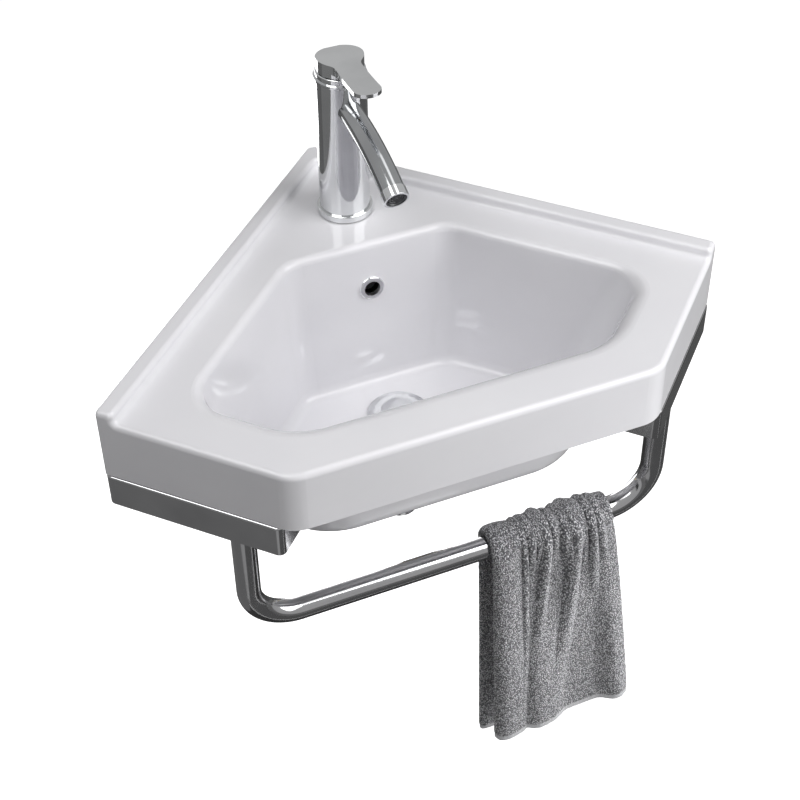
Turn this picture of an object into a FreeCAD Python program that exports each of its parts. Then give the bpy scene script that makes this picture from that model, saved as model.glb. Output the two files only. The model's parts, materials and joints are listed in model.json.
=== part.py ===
import FreeCAD, Part
import math
import os

# A ceramic corner basin on two steel side brackets, with a towel rail, a single-lever tap and a towel.
# The origin lies on the line where the two walls meet, level with the basin's deck. +Z is up, the front
# faces -Y, and the basin is alike on both sides of the plane x = 0. The walls are the vertical planes
# y = x on the left and y = -x on the right. All lengths are millimetres and all angles degrees.

# Basin, outside
wall_side = 384.0
basin_front_share = 1.0104
skirt_height = 57.5
skirt_wall = 12.0
deck_thickness = 12.0
wall_corner_cut = 8.0
wall_end_radius = 3.0
front_corner_radius = 28.0
deck_edge_radius = 5.0
upstand_width = 15.0
upstand_height = 9.5
upstand_top_radius = 3.6
upstand_foot_radius = 4.0
upstand_corner_radius = 10.0
hanger_hole_radius = 7.0
hanger_hole_share = 0.612
hanger_hole_drop = 34.0

# Bowl, its plan given as shares of the basin's side
rim_from_wall_share = 0.1393
rim_from_side_share = 0.1224
rim_back_share = 0.388
rim_front_share = 0.8854
floor_from_wall_share = 0.1734
floor_from_side_share = 0.2396
floor_back_share = 0.4258
floor_front_share = 0.8151
back_radius_share = 0.073
tip_radius_share = 0.078
front_radius_share = 0.156
bowl_depth = 146.0
bowl_wall = 11.0
bowl_foot_radius = 10.0
rim_crisp_radius = 7.0
rim_soft_radius = 16.0

# Overflow and its duct behind the bowl
overflow_drop = 45.0
overflow_hole_radius = 9.0
overflow_flange_radius = 11.5
overflow_flange_height = 2.2
overflow_flange_round = 1.4
overflow_bore_radius = 7.2
overflow_sleeve_length = 9.0
duct_width = 40.0
duct_reach = 26.0
duct_wall = 8.0
duct_channel_width = 24.0
duct_head = 18.0
horn_drop = 18.0

# Waste fitting
drain_place_share = 0.338
waste_hole_radius = 23.5
drain_boss_wall = 12.0
waste_tube_radius = 22.0
waste_bore_radius = 17.5
waste_tube_length = 62.0
waste_flange_radius = 28.0
waste_flange_height = 3.2
waste_lip_height = 1.0
waste_seat_radius = 14.0
waste_seat_depth = 2.0
waste_seat_thickness = 3.0
waste_slot_width = 14.0
waste_slot_height = 7.0
waste_arm_width = 4.0
waste_arm_height = 7.0
waste_arm_drop = 30.0
waste_arm_count = 3
waste_hub_radius = 8.0
waste_seal_thickness = 1.2
lower_seal_radius = 33.0
lower_seal_thickness = 4.0
waste_nut_across_flats = 60.0
waste_nut_height = 9.0
tail_radius = 16.0
tail_wall = 2.0
tail_length = 48.0
tail_socket_length = 12.0
tail_shoulder_height = 5.0

# Plug that pops up
plug_radius = 16.0
plug_rim_height = 1.6
plug_dome_height = 3.4
plug_seal_inner_radius = 9.0
plug_seal_thickness = 1.6
plug_stem_radius = 3.0
plug_stem_length = 44.0
click_radius = 5.0
click_head_radius = 6.5
click_head_height = 4.0
click_floor = 3.0

# Tap body
tap_room_behind_duct = 5.5
tap_hole_radius = 17.5
tap_seal_thickness = 1.2
tap_body_radius = 22.2
tap_body_top = 139.0
tap_lip_height = 2.6
tap_lip_reach = 0.8
base_ring_wall = 2.2
base_ring_height = 6.0
base_ring_round = 1.2
inlet_spacing = 16.0
inlet_radius = 4.5
inlet_depth = 15.0
inlet_way_radius = 3.2

# Cartridge and what turns in it, with heights from the body's top
cartridge_radius = 12.5
cartridge_length = 29.0
cartridge_sink = 9.0
cartridge_boss_radius = 9.2
cartridge_boss_height = 5.0
cartridge_nut_radius = 15.4
dome_radius = 16.5
dome_wall = 2.2
dome_rise = 6.0
dome_collar_radius = 21.6
dome_collar_height = 5.7
dome_collar_round = 1.0
pivot_rise = 3.0
rotor_radius = 8.6
rotor_height = 2.4
ear_width = 9.0
ear_thickness = 3.4
ear_rise = 3.6
lever_pin_radius = 1.5
spindle_eye_radius = 4.0
spindle_width = 7.0
spindle_rise = 15.0

# Lever handle, with heights from the tap body's top
cap_radius = 20.4
cap_foot_rise = 6.4
cap_back_rise = 14.0
lever_reach = 74.0
lever_waist_reach = 30.0
lever_waist_width = 23.0
lever_tip_width = 23.6
lever_flank_radius = 10.0
lever_crest_reach = 11.0
lever_crest_rise = 18.5
lever_waist_rise = 18.6
lever_tip_rise = 24.0
lever_tip_thickness = 3.2
lever_waist_thickness = 4.4
lever_root_drop = 7.9
lever_swell = 1.0
cap_wall = 2.3
cap_ceiling_rise = 11.6
hub_radius = 7.0
hub_foot_rise = 8.6
grub_screw_radius = 2.0
grub_screw_rise = 11.2
grub_access_radius = 2.3
lever_lift = 22.0
lever_relief = 1.5

# Spout and its outlet
spout_radius = 10.25
spout_bore_radius = 8.0
spout_drop = 26.0
spout_socket_depth = 6.5
spout_sweep_radius = 222.0
spout_rise_angle = 3.0
spout_fall_angle = 24.0
outlet_way_radius = 4.0
collar_radius = 10.9
collar_length = 9.0
collar_overlap = 3.0
collar_round = 1.0
aerator_recess = 1.6
aerator_thickness = 4.0
aerator_groove_depth = 0.8
aerator_groove_width = 1.0
aerator_groove_count = 3

# Tap fixing under the deck
tap_stud_radius = 3.0
tap_stud_back = 10.0
tap_stud_depth = 14.0
tap_stud_drop = 46.0
horseshoe_radius = 25.0
horseshoe_slot = 27.0
horseshoe_slot_end = 5.2
horseshoe_seal_thickness = 3.0
horseshoe_plate_thickness = 2.0
tap_nut_across_flats = 10.0
tap_nut_height = 5.0

# Side brackets
bracket_thickness = 2.5
bracket_height = 30.0
bracket_length_share = 0.401
bracket_proud = 1.0
bracket_bend_radius = 6.0
bracket_top_bend = 2.0
front_tab_length = 42.0
wall_flange_length = 46.0
top_flange_width = 27.0
foot_flange_width = 24.0
foot_flange_length = 34.0
wall_screw_radius = 3.25
wall_screw_spacing = 22.0
wall_screw_from_edge = 12.0
pad_thickness = 1.0
pad_end_margin = 12.0
pad_side_margin = 0.8

# Towel rail, bolted up to the brackets' foot flanges
rail_radius = 10.0
rail_wall = 1.5
rail_from_bracket_end = 40.0
rail_drop = 197.0
rail_bend_radius = 42.0
insert_length = 22.0
rail_bolt_radius = 3.0
rail_bolt_length = 20.0
rail_bolt_across_flats = 10.0
rail_bolt_head = 4.0
rail_washer_radius = 6.5
rail_washer_thickness = 1.2

# Towel over the rail, gathered into pleats that open into broad folds below
towel_from_bend = 1.4
towel_width = 114.0
towel_thickness = 6.0
towel_pleat = 3.0
towel_pleat_count = 8
towel_front_length = 257.0
towel_back_length = 285.0
towel_foot_shift = 22.0
towel_foot_width = 140.0
towel_fold = 9.0
# Broad folds from the left edge: place across the cloth, half width and depth of each
towel_fold_shares = ((0.1, 0.16, 1.0), (0.42, 0.2, 0.6), (0.92, 0.2, 0.8))

# Clearances
fit_clearance = 0.1
running_clearance = 0.05
towel_clearance = 0.4
lever_clearance = 0.25
cut_overrun = 5.0

# Sizes that follow from those above
basin_front = wall_side * basin_front_share
rim_from_wall = wall_side * rim_from_wall_share
rim_from_side = wall_side * rim_from_side_share
rim_back = wall_side * rim_back_share
rim_front = wall_side * rim_front_share
floor_from_wall = wall_side * floor_from_wall_share
floor_from_side = wall_side * floor_from_side_share
floor_back = wall_side * floor_back_share
floor_front = wall_side * floor_front_share
bowl_back_radius = wall_side * back_radius_share
bowl_tip_radius = wall_side * tip_radius_share
bowl_front_radius = wall_side * front_radius_share
hanger_hole_along_wall = wall_side * hanger_hole_share
bracket_length = wall_side * bracket_length_share
drain_from_corner = floor_back + (floor_front - floor_back) * drain_place_share
tap_from_corner = rim_back - duct_reach - tap_room_behind_duct - horseshoe_radius
cartridge_top = tap_body_top - cartridge_sink
cartridge_floor = cartridge_top - cartridge_length
pivot_height = tap_body_top + pivot_rise
spindle_top = tap_body_top + spindle_rise
cap_foot = tap_body_top + cap_foot_rise
cap_back_top = tap_body_top + cap_back_rise
lever_crest_top = tap_body_top + lever_crest_rise
lever_waist_top = tap_body_top + lever_waist_rise
lever_tip_top = tap_body_top + lever_tip_rise
cap_ceiling = tap_body_top + cap_ceiling_rise
hub_foot = tap_body_top + hub_foot_rise
grub_screw_height = tap_body_top + grub_screw_rise
spout_height = tap_body_top - spout_drop

ROOT2 = math.sqrt(2)
V = FreeCAD.Vector
UP = V(0, 0, 1)
ORIGIN = V(0, 0, 0)
RIGHT_SIDE_TURN = 225


def export(shape, node):
    """Write one node's solids, or one solid, to its file."""
    shape.exportStep(f"parts/{node}.step")


def prism(points, low, high):
    """Upright prism over a plan of (x, y) points."""
    ring = [V(x, y, low) for x, y in points]
    return Part.Face(Part.makePolygon(ring + ring[:1])).extrude(UP * (high - low))


def side_prism(points, width):
    """Prism over an outline of (y, z) points, centred on x = 0."""
    ring = [V(-width / 2, y, z) for y, z in points]
    return Part.Face(Part.makePolygon(ring + ring[:1])).extrude(V(width, 0, 0))


def box(x0, x1, y0, y1, z0, z1):
    """Box between two corners."""
    return Part.makeBox(x1 - x0, y1 - y0, z1 - z0, V(x0, y0, z0))


def rod(radius, low, high, x=0, y=0):
    """Upright cylinder."""
    return Part.makeCylinder(radius, high - low, V(x, y, low))


def ring(outer, inner, low, high, x=0, y=0):
    """Upright tube."""
    return rod(outer, low, high, x, y).cut(rod(inner, low, high, x, y))


def turned(profile, x=0, y=0):
    """Solid turned about an upright axis from (radius, height) points."""
    points = [V(x + r, y, z) for r, z in profile]
    face = Part.Face(Part.makePolygon(points + points[:1]))
    return face.revolve(V(x, y, 0), UP, 360)


def hexagon(across_flats, low, high, x=0, y=0):
    """Upright hexagonal prism."""
    corner = across_flats / math.sqrt(3)
    steps = [math.radians(60 * k) for k in range(6)]
    return prism([(x + corner * math.cos(a), y + corner * math.sin(a)) for a in steps], low, high)


def fillet_where(shape, radius, test):
    """Round the edges whose ends and middle all pass a test of their place."""
    chosen = []
    for edge in shape.Edges:
        middle = edge.valueAt((edge.FirstParameter + edge.LastParameter) / 2)
        if all(test(p) for p in [v.Point for v in edge.Vertexes] + [middle]):
            chosen.append(edge)
    return shape.makeFillet(radius, chosen)


def near(a, b):
    """Whether two lengths are the same."""
    return abs(a - b) < running_clearance


def lies_at(x, y):
    """Test for points on an upright line."""
    return lambda p: near(p.x, x) and near(p.y, y)


def mirrored(shape):
    """The same shape on the other side of the plane x = 0."""
    return shape.mirror(ORIGIN, V(1, 0, 0))


def on_right_side(shape):
    """Turn a shape drawn in the right wall's frame: its X leads away from the wall, its Y along the wall."""
    turned_shape = shape.copy()
    turned_shape.rotate(ORIGIN, UP, RIGHT_SIDE_TURN)
    return turned_shape


def both_sides(shape):
    """A right-hand solid and its left-hand twin."""
    return Part.makeCompound([shape, mirrored(shape)])


# Basin

def basin_plan(inset, corner_cut):
    """Basin outline moved in from the walls, sides and front, from the right of the wall corner round."""
    half_cut = corner_cut / ROOT2
    back = inset * ROOT2 + half_cut
    reach = wall_side - inset
    front = basin_front - inset
    end = (reach - inset) / ROOT2
    right = [(half_cut, -back), (end, -(reach + inset) / ROOT2), (reach * ROOT2 - front, -front)]
    return right + [(-x, y) for x, y in reversed(right)]


def upstand_plan():
    """Strip along both walls."""
    outer = basin_plan(0, wall_corner_cut)
    end_x, end_y = outer[1]
    step = upstand_width / ROOT2
    inner = [(end_x - step, end_y - step), (0, -upstand_width * ROOT2), (step - end_x, end_y - step)]
    return [outer[0], outer[1]] + inner + [outer[4], outer[5]]


def bowl_plan(level, wall):
    """Corners of the bowl at a height below the deck, with a wall's thickness added."""
    depth_share = -level / bowl_depth
    from_wall = rim_from_wall + (floor_from_wall - rim_from_wall) * depth_share - wall
    from_side = rim_from_side + (floor_from_side - rim_from_side) * depth_share - wall
    back = rim_back + (floor_back - rim_back) * depth_share - wall
    front = rim_front + (floor_front - rim_front) * depth_share + wall
    reach = wall_side - from_side
    tip = ((reach - from_wall) / ROOT2, -(reach + from_wall) / ROOT2)
    right = [(back - from_wall * ROOT2, -back), tip, (reach * ROOT2 - front, -front)]
    return right + [(-x, y) for x, y in reversed(right)]


def bowl_form(top, foot, wall):
    """Bowl-shaped solid with flat sloping sides, rounded corners and a rounded foot."""
    upper = [V(x, y, top) for x, y in bowl_plan(top, wall)]
    lower = [V(x, y, foot) for x, y in bowl_plan(foot + wall, wall)]
    loops = [upper[::-1], lower]
    for k, corner in enumerate(upper):
        n = (k + 1) % len(upper)
        loops.append([corner, upper[n], lower[n], lower[k]])
    skin = Part.Shell([Part.Face(Part.makePolygon(loop + loop[:1])) for loop in loops])
    skin.sewShape()
    form = Part.Solid(skin)
    radii = [bowl_back_radius, bowl_tip_radius, bowl_front_radius]
    for radius, (x, y) in zip(radii, bowl_plan(foot + wall, wall)):
        for side in (x, -x):
            corner = V(side, y, foot)
            chosen = [e for e in form.Edges if abs(e.Vertexes[0].Z - e.Vertexes[-1].Z) > bowl_wall
                      and min(v.Point.distanceToPoint(corner) for v in e.Vertexes) < running_clearance]
            form = form.makeFillet(radius + wall, chosen)
    return fillet_where(form, bowl_foot_radius + wall, lambda p: near(p.z, foot))


def back_wall_at(drop):
    """Distance of the bowl's back wall from the wall corner at a depth under the deck."""
    return rim_back + (floor_back - rim_back) * drop / bowl_depth


def overflow_frame():
    """Place of the overflow: its +Z leads out of the back wall into the bowl."""
    fall = math.degrees(math.atan2(floor_back - rim_back, bowl_depth))
    turn = FreeCAD.Rotation(V(1, 0, 0), 90 - fall)
    return FreeCAD.Placement(V(0, -back_wall_at(overflow_drop), -overflow_drop), turn)


def boss_foot():
    """Height of the flat under the drain boss."""
    return -(bowl_depth + bowl_wall + horn_drop)


def duct_block():
    """Solid behind and under the bowl that holds the overflow duct."""
    back = -(rim_back - duct_reach)
    top = -deck_thickness / 2
    outline = [(back, top), (back, boss_foot()), (-drain_from_corner, boss_foot()),
               (-drain_from_corner, -bowl_depth), (-floor_back, -bowl_depth), (-rim_back, top)]
    return side_prism(outline, duct_width)


def duct_channel():
    """Way from the overflow hole down to the waste."""
    back = -(rim_back - duct_reach + duct_wall)
    top = -(overflow_drop - duct_head)
    low = boss_foot() + duct_wall
    ceiling = -(bowl_depth + bowl_wall)
    outline = [(back, top), (back, low), (-drain_from_corner, low), (-drain_from_corner, ceiling),
               (-(floor_back - bowl_wall), ceiling), (-(back_wall_at(-top) - bowl_wall), top)]
    return side_prism(outline, duct_channel_width)


def basin_shell():
    """Deck, upstand and skirt, rounded outside and open below."""
    plan = basin_plan(0, wall_corner_cut)
    body = prism(plan, -skirt_height, 0).fuse(prism(upstand_plan(), 0, upstand_height)).removeSplitter()
    front_x, front_y = plan[2]
    for side in (1, -1):
        body = fillet_where(body, front_corner_radius, lies_at(side * front_x, front_y))
    body = fillet_where(body, upstand_corner_radius, lies_at(0, -upstand_width * ROOT2))
    inner = upstand_width * ROOT2 - upstand_corner_radius

    def on_upstand_face(p):
        in_corner = abs(p.x) < upstand_corner_radius and -p.y > inner
        return in_corner or near(-p.y - abs(p.x), upstand_width * ROOT2)

    body = fillet_where(body, upstand_foot_radius, lambda p: near(p.z, 0) and on_upstand_face(p))
    body = fillet_where(body, upstand_top_radius, lambda p: near(p.z, upstand_height) and on_upstand_face(p))
    hollow = prism(basin_plan(skirt_wall, 0), -skirt_height, -deck_thickness)
    return body.cut(hollow)


def round_deck_edge(body):
    """Round the edge where the short sides and the front meet the deck and the upstand's ends."""
    side_gap = deck_edge_radius / 2

    def outside(p):
        short_side = (abs(p.x) - p.y) / ROOT2 > wall_side - side_gap
        front = -p.y > basin_front - front_corner_radius
        return p.z > -side_gap and (short_side or front and near_outline(p))

    def near_outline(p):
        short_line = (abs(p.x) - p.y) / ROOT2
        return -p.y > basin_front - side_gap or short_line > wall_side - front_corner_radius / 2

    body = fillet_where(body, deck_edge_radius, outside)
    end_x, end_y = basin_plan(0, wall_corner_cut)[1]
    for side in (1, -1):
        body = fillet_where(body, wall_end_radius, lies_at(side * end_x, end_y))
    return body


def make_basin():
    """One ceramic casting with its bowl, overflow duct, drain boss and holes."""
    body = round_deck_edge(basin_shell())
    floor = -bowl_depth
    shell_foot = floor - bowl_wall
    body = body.fuse(bowl_form(-deck_thickness / 2, shell_foot, bowl_wall))
    boss = rod(waste_hole_radius + drain_boss_wall, boss_foot(), floor, 0, -drain_from_corner)
    body = body.fuse([boss, duct_block()])
    body = body.cut(bowl_form(cut_overrun, floor, 0))
    overflow_hole = rod(overflow_hole_radius, -(duct_reach - duct_wall / 2), cut_overrun)
    overflow_hole.Placement = overflow_frame()
    drain_hole = rod(waste_hole_radius, boss_foot() - cut_overrun, floor + cut_overrun, 0, -drain_from_corner)
    tap_hole = rod(tap_hole_radius, -deck_thickness - cut_overrun, cut_overrun, 0, -tap_from_corner)
    hanger = Part.makeCylinder(hanger_hole_radius, skirt_wall + cut_overrun,
                               V(0, hanger_hole_along_wall, -hanger_hole_drop), V(1, 0, 0))
    hanger = on_right_side(hanger)
    body = body.cut([duct_channel(), overflow_hole, drain_hole, tap_hole, hanger, mirrored(hanger)])
    return round_rim(body.removeSplitter())


def round_rim(body):
    """Round the bowl's rim: crisp along the walls, soft along the short sides and the front."""
    document = FreeCAD.newDocument("rim")
    plain = document.addObject("Part::Feature", "plain")
    plain.Shape = body
    rounded = document.addObject("Part::Fillet", "rounded")
    rounded.Base = plain
    laws = []
    for number, edge in enumerate(plain.Shape.Edges, 1):
        ends = [edge.valueAt(edge.FirstParameter), edge.valueAt(edge.LastParameter)]
        middle = edge.valueAt((edge.FirstParameter + edge.LastParameter) / 2)
        if all(on_rim(p) for p in ends + [middle]):
            laws.append((number, rim_radius_at(ends[0]), rim_radius_at(ends[1])))
    rounded.Edges = laws
    document.recompute()
    shape = rounded.Shape.copy()
    FreeCAD.closeDocument(document.Name)
    return shape


def rim_radius_at(p):
    """Rounding of the rim at a point: soft where the rim has left the walls' side of the bowl."""
    beside_wall = (-p.y - abs(p.x)) / ROOT2 < rim_from_wall + bowl_tip_radius / 2
    at_back = -p.y < rim_back + bowl_wall
    return rim_crisp_radius if beside_wall or at_back else rim_soft_radius


def on_rim(p):
    """Whether a point lies on the edge between the deck and the bowl."""
    return near(p.z, 0) and -p.y > rim_back - bowl_wall and -p.y < rim_front + bowl_wall and (
        (abs(p.x) - p.y) / ROOT2 < wall_side - rim_from_side + bowl_wall
        and (-p.y - abs(p.x)) / ROOT2 > rim_from_wall - bowl_wall)


def make_overflow_ring():
    """Chrome ring with a rounded flange and a sleeve in the overflow hole."""
    sleeve = ring(overflow_hole_radius - fit_clearance, overflow_bore_radius, -overflow_sleeve_length, 0)
    flange = ring(overflow_flange_radius, overflow_bore_radius, 0, overflow_flange_height)
    flange = fillet_where(flange, overflow_flange_round, lambda p: near(p.z, overflow_flange_height)
                          and near(math.hypot(p.x, p.y), overflow_flange_radius))
    piece = sleeve.fuse(flange).removeSplitter()
    piece.Placement = overflow_frame()
    return piece


# Waste

def waste_levels():
    """Heights of the bowl floor and of the waste's flange foot."""
    floor = -bowl_depth
    return floor, floor + waste_seal_thickness


def plug_seat():
    """Height of the ledge that the plug's seal lies on."""
    return waste_levels()[1] + waste_flange_height - waste_seat_depth


def tube_foot():
    """Height of the waste tube's lower end."""
    return waste_levels()[0] - waste_tube_length


def make_waste_body():
    """Flange with the plug's seat, threaded tube with overflow slots, and arms that carry the cartridge."""
    floor, flange_foot = waste_levels()
    flange_top = flange_foot + waste_flange_height
    seat = plug_seat()
    rim = plug_radius + running_clearance + fit_clearance
    profile = [(waste_tube_radius, tube_foot()), (waste_tube_radius, flange_foot),
               (waste_flange_radius, flange_foot), (waste_flange_radius, flange_foot + waste_lip_height),
               ((waste_flange_radius + rim) / 2, flange_top), (rim, flange_top), (rim, seat),
               (waste_seat_radius, seat), (waste_seat_radius, seat - waste_seat_thickness),
               (waste_bore_radius, seat - waste_seat_thickness), (waste_bore_radius, tube_foot())]
    body = turned(profile, 0, -drain_from_corner)
    slot_middle = floor - bowl_wall - (horn_drop - duct_wall) / 2
    slot = box(-waste_slot_width / 2, waste_slot_width / 2, -drain_from_corner - waste_flange_radius,
               -drain_from_corner + waste_flange_radius, slot_middle - waste_slot_height / 2,
               slot_middle + waste_slot_height / 2)
    body = body.cut(slot)
    arm_top = floor - waste_arm_drop
    hub = rod(waste_hub_radius, arm_top - waste_arm_height, arm_top, 0, -drain_from_corner)
    arms = []
    for k in range(waste_arm_count):
        arm = box(0, (waste_bore_radius + waste_tube_radius) / 2, -waste_arm_width / 2, waste_arm_width / 2,
                  arm_top - waste_arm_height, arm_top)
        arm.rotate(ORIGIN, UP, 360 / waste_arm_count * (k + 0.5))
        arm.translate(V(0, -drain_from_corner, 0))
        arms.append(arm)
    body = body.fuse([hub] + arms).removeSplitter()
    hole_foot = arm_top - waste_arm_height - cut_overrun
    hole = rod(click_radius + running_clearance, hole_foot, arm_top + cut_overrun, 0, -drain_from_corner)
    return body.cut(hole)


def make_click_cartridge():
    """Push-to-open cartridge: a sleeve with a head that sits on the hub."""
    arm_top = waste_levels()[0] - waste_arm_drop
    top = arm_top + click_head_height
    foot = plug_seat() - plug_stem_length - click_floor
    bore_floor = foot + click_floor / 2
    bore = plug_stem_radius + running_clearance
    profile = [(0, foot), (click_radius, foot), (click_radius, arm_top), (click_head_radius, arm_top),
               (click_head_radius, top), (bore, top), (bore, bore_floor), (0, bore_floor)]
    return turned(profile, 0, -drain_from_corner)


def make_plug():
    """Stem, seal and domed cap of the plug, closed on its seat."""
    seat = plug_seat() + running_clearance
    y = -drain_from_corner
    seal_top = seat + plug_seal_thickness
    stem = rod(plug_stem_radius, plug_seat() - plug_stem_length, seal_top, 0, y)
    seal = ring(plug_radius, plug_seal_inner_radius, seat, seal_top, 0, y)
    hub = rod(plug_seal_inner_radius - fit_clearance, seat, seal_top, 0, y)
    rim_top = seal_top + plug_rim_height
    dome_top = seal_top + plug_dome_height
    rise = dome_top - rim_top
    ball = (plug_radius ** 2 + rise ** 2) / (2 * rise)
    dome = Part.makeSphere(ball, V(0, y, dome_top - ball)).common(rod(plug_radius, rim_top, dome_top, 0, y))
    cap = rod(plug_radius, seal_top, rim_top, 0, y).fuse([dome, hub]).removeSplitter()
    return stem, seal, cap.cut(stem)


def make_waste_seals():
    """Flat seal under the flange and cone-edged seal under the ceramic."""
    floor, flange_foot = waste_levels()
    y = -drain_from_corner
    inner = waste_tube_radius + fit_clearance
    top_seal = ring(waste_flange_radius - waste_lip_height, inner, floor, flange_foot, 0, y)
    foot = boss_foot() - lower_seal_thickness
    lower = turned([(inner, foot), (lower_seal_radius - lower_seal_thickness / 2, foot),
                    (lower_seal_radius, foot + lower_seal_thickness / 2), (lower_seal_radius, boss_foot()),
                    (inner, boss_foot())], 0, y)
    return top_seal, lower


def make_waste_nut():
    """Hexagonal back nut."""
    top = boss_foot() - lower_seal_thickness
    y = -drain_from_corner
    foot = top - waste_nut_height
    nut = hexagon(waste_nut_across_flats, foot, top, 0, y)
    bore = rod(waste_tube_radius + running_clearance, foot - cut_overrun, top + cut_overrun, 0, y)
    return nut.cut(bore)


def make_waste_tail():
    """Tail pipe with a threaded socket end and a shoulder under the waste tube."""
    shoulder = tube_foot()
    neck = waste_bore_radius - running_clearance
    foot = shoulder - tail_shoulder_height - tail_length
    bore = tail_radius - tail_wall
    profile = [(bore, foot), (tail_radius, foot), (tail_radius, shoulder - tail_shoulder_height),
               (waste_tube_radius, shoulder - tail_shoulder_height), (waste_tube_radius, shoulder),
               (neck, shoulder), (neck, shoulder + tail_socket_length), (bore, shoulder + tail_socket_length)]
    return turned(profile, 0, -drain_from_corner)


# Tap

def tap_rod(radius, low, high, x=0, forward=0):
    """Upright cylinder placed from the tap's axis."""
    return rod(radius, low, high, x, -tap_from_corner - forward)


def spout_arc():
    """Start of the spout in the tap body and the centre of its sweep."""
    start = V(0, -tap_from_corner - tap_body_radius + spout_socket_depth, spout_height)
    rise = math.radians(spout_rise_angle)
    centre = start + V(0, -math.sin(rise), -math.cos(rise)) * spout_sweep_radius
    return start, centre


def spout_piece(outer, inner, turn):
    """Curved tube from the socket along the sweep, over an angle."""
    start, centre = spout_arc()
    rise = math.radians(spout_rise_angle)
    along = V(0, -math.cos(rise), math.sin(rise))
    discs = [Part.Face(Part.Wire(Part.makeCircle(r, start, along))) for r in (outer, inner)]
    sweeps = [disc.revolve(centre, V(1, 0, 0), turn) for disc in discs]
    return sweeps[0].cut(sweeps[1])


def spout_end():
    """Centre and direction of the spout's open end."""
    centre = spout_arc()[1]
    fall = math.radians(spout_fall_angle)
    end = centre + V(0, -math.sin(fall), math.cos(fall)) * spout_sweep_radius
    return end, V(0, -math.cos(fall), -math.sin(fall))


def make_tap_body():
    """Turned brass body with its cartridge room, inlets, spout socket and stud hole."""
    foot = tap_seal_thickness
    lip = tap_body_top - tap_lip_height
    body = tap_rod(tap_body_radius, foot, tap_body_top)
    collar = tap_rod(tap_body_radius + tap_lip_reach, lip, tap_body_top)
    collar = fillet_where(collar, tap_lip_reach, lambda p: near(p.z, lip))
    body = body.fuse(collar).removeSplitter()
    room = tap_rod(cartridge_radius + fit_clearance, cartridge_floor, tap_body_top + cut_overrun)
    thread = tap_rod(cartridge_nut_radius + fit_clearance, cartridge_top, tap_body_top + cut_overrun)
    cuts = [room, thread]
    for side in (1, -1):
        x = side * inlet_spacing / 2
        cuts.append(tap_rod(inlet_radius, foot - cut_overrun, foot + inlet_depth, x))
        cuts.append(tap_rod(inlet_way_radius, foot, cartridge_floor + cut_overrun, x))
    cuts.append(tap_rod(tap_stud_radius + running_clearance, foot - cut_overrun, foot + tap_stud_depth, 0,
                        -tap_stud_back))
    start = spout_arc()[0]
    rise = math.radians(spout_rise_angle)
    along = V(0, -math.cos(rise), math.sin(rise))
    socket_length = spout_socket_depth + cut_overrun
    cuts.append(Part.makeCylinder(spout_radius + running_clearance, socket_length, start, along))
    cuts.append(Part.makeCylinder(outlet_way_radius, tap_body_radius, start, along * -1))
    return body.cut(cuts)


def make_base_ring():
    """Ring round the body's foot."""
    inner = tap_body_radius + running_clearance
    foot = tap_seal_thickness
    top = foot + base_ring_height
    piece = ring(inner + base_ring_wall, inner, foot, top, 0, -tap_from_corner)
    return fillet_where(piece, base_ring_round, lambda p: near(p.z, top)
                        and math.hypot(p.x, p.y + tap_from_corner) > inner + base_ring_wall / 2)


def make_tap_seal():
    """Flat seal between the tap and the deck."""
    outer = tap_body_radius + base_ring_wall / 2
    return ring(outer, tap_hole_radius + fit_clearance, 0, tap_seal_thickness, 0, -tap_from_corner)


def make_spout():
    """Curved spout tube."""
    return spout_piece(spout_radius, spout_bore_radius, spout_rise_angle + spout_fall_angle)


def make_aerator_collar():
    """Collar screwed over the spout's end, rounded at its mouth."""
    end, along = spout_end()
    socket = spout_radius + running_clearance
    piece = rod(collar_radius, -collar_overlap, collar_length - collar_overlap)
    piece = piece.cut(rod(spout_bore_radius + collar_round, -collar_overlap, collar_length))
    piece = piece.cut(rod(socket, -collar_overlap, 0))
    mouth = collar_length - collar_overlap
    piece = fillet_where(piece, (collar_radius - socket) / 2, lambda p: near(p.z, mouth)
                         and near(math.hypot(p.x, p.y), collar_radius))
    piece.Placement = FreeCAD.Placement(end, FreeCAD.Rotation(UP, along))
    return piece


def make_aerator_insert():
    """Round insert with ring grooves, set back inside the collar's mouth."""
    end, along = spout_end()
    radius = spout_bore_radius + collar_round - running_clearance
    top = collar_length - collar_overlap - aerator_recess
    piece = rod(radius, top - aerator_thickness, top)
    pitch = radius / (aerator_groove_count + 1)
    for k in range(1, aerator_groove_count + 1):
        middle = pitch * k
        piece = piece.cut(ring(middle + aerator_groove_width / 2, middle - aerator_groove_width / 2,
                               top - aerator_groove_depth, top + cut_overrun))
    piece.Placement = FreeCAD.Placement(end, FreeCAD.Rotation(UP, along))
    return piece


def make_cartridge():
    """Fixed ceramic-disc cartridge with the boss that the rotor turns on."""
    boss_top = cartridge_top + cartridge_boss_height
    piece = tap_rod(cartridge_radius, cartridge_floor, cartridge_top)
    piece = piece.fuse(tap_rod(cartridge_boss_radius, cartridge_top, boss_top)).removeSplitter()
    port = tap_rod(inlet_way_radius, cartridge_floor - cut_overrun, cartridge_floor + cut_overrun)
    ports = []
    for side in (1, -1):
        hole = port.copy()
        hole.translate(V(side * inlet_spacing / 2, 0, 0))
        ports.append(hole)
    return piece.cut(ports)


def make_cartridge_nut():
    """Threaded ring that holds the cartridge down."""
    return ring(cartridge_nut_radius, cartridge_boss_radius + fit_clearance, cartridge_top, tap_body_top, 0,
                -tap_from_corner)


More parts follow.
